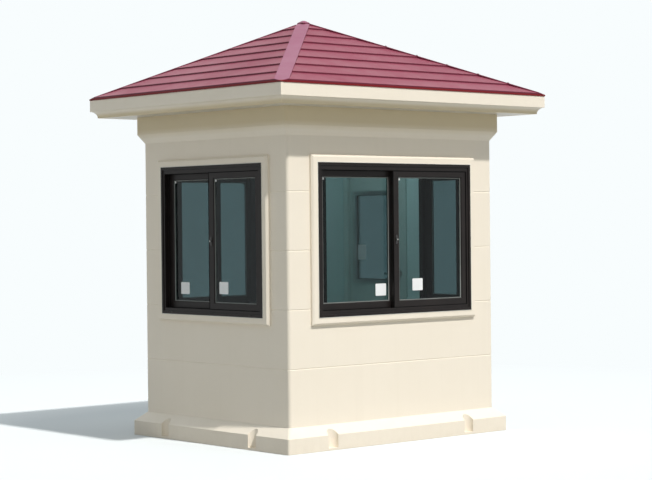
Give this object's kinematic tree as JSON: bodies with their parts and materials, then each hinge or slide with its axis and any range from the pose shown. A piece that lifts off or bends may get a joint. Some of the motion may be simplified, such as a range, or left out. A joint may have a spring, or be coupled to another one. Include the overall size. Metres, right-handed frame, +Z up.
{
  "type": "security guard booth",
  "caption": "Moulded cream guard booth with a lapped red hip roof, dark sliding windows on three sides, and a narrow window and a hinged half-glazed door on the fourth.",
  "frame": {"origin": "middle of the body's footprint, on the ground", "axes": "+Z up; the front window wall faces -Y, the door and the narrow window face +X"},
  "size_m": [2.328, 2.028, 2.783],
  "materials": {
    "cream_shell": "satin moulded gel coat",
    "cream_ceiling": "satin",
    "floor_sheet": "matt sheet",
    "bearer_steel": "satin paint",
    "roof_shell": "satin moulded gel coat",
    "roof_band": "satin moulded gel coat",
    "dark_aluminium": "dark bronze anodised",
    "window_glass": "clear, faintly green",
    "latch_metal": "satin",
    "door_enamel": "satin enamel",
    "door_trim": "satin",
    "handle_steel": "brushed"
  },
  "bodies": {
    "booth": {"back_inner_sash": "dark_aluminium", "back_outer_sash": "dark_aluminium", "back_wall": "cream_shell", "back_window_frame": "dark_aluminium", "back_window_glass": "window_glass", "door_frame": "door_enamel", "eave_fascia": "cream_shell", "floor_bearers": "bearer_steel", "floor_panel": "floor_sheet", "front_inner_sash": "dark_aluminium", "front_outer_sash": "dark_aluminium", "front_wall": "cream_shell", "front_window_frame": "dark_aluminium", "front_window_glass": "window_glass", "hinge_frame_leaves": "handle_steel", "hip_bands": "roof_band", "left_inner_sash": "dark_aluminium", "left_outer_sash": "dark_aluminium", "left_wall": "cream_shell", "left_window_frame": "dark_aluminium", "left_window_glass": "window_glass", "peak_cap": "roof_band", "plinth_back": "cream_shell", "plinth_front": "cream_shell", "plinth_left": "cream_shell", "plinth_right": "cream_shell", "right_wall_front": "cream_shell", "right_wall_head": "cream_shell", "right_wall_rear": "cream_shell", "roof_back": "roof_shell", "roof_front": "roof_shell", "roof_left": "roof_shell", "roof_right": "roof_shell", "side_window_frame": "dark_aluminium", "side_window_glass": "window_glass", "side_window_sash": "dark_aluminium", "soffit_panel": "cream_ceiling", "window_latches": "latch_metal"},
    "door": {"door_leaf": "door_enamel", "door_glass": "window_glass", "door_beads": "door_trim", "door_handles": "handle_steel", "hinge_door_leaves": "handle_steel"}
  },
  "joints": [
    {"name": "door_hinge", "type": "hinge", "parent": "booth", "child": "door", "pos_m": [0.916, 0.6615, 1.05], "axis": [0, 0, 1], "range_deg": [0, 110]}
  ]
}
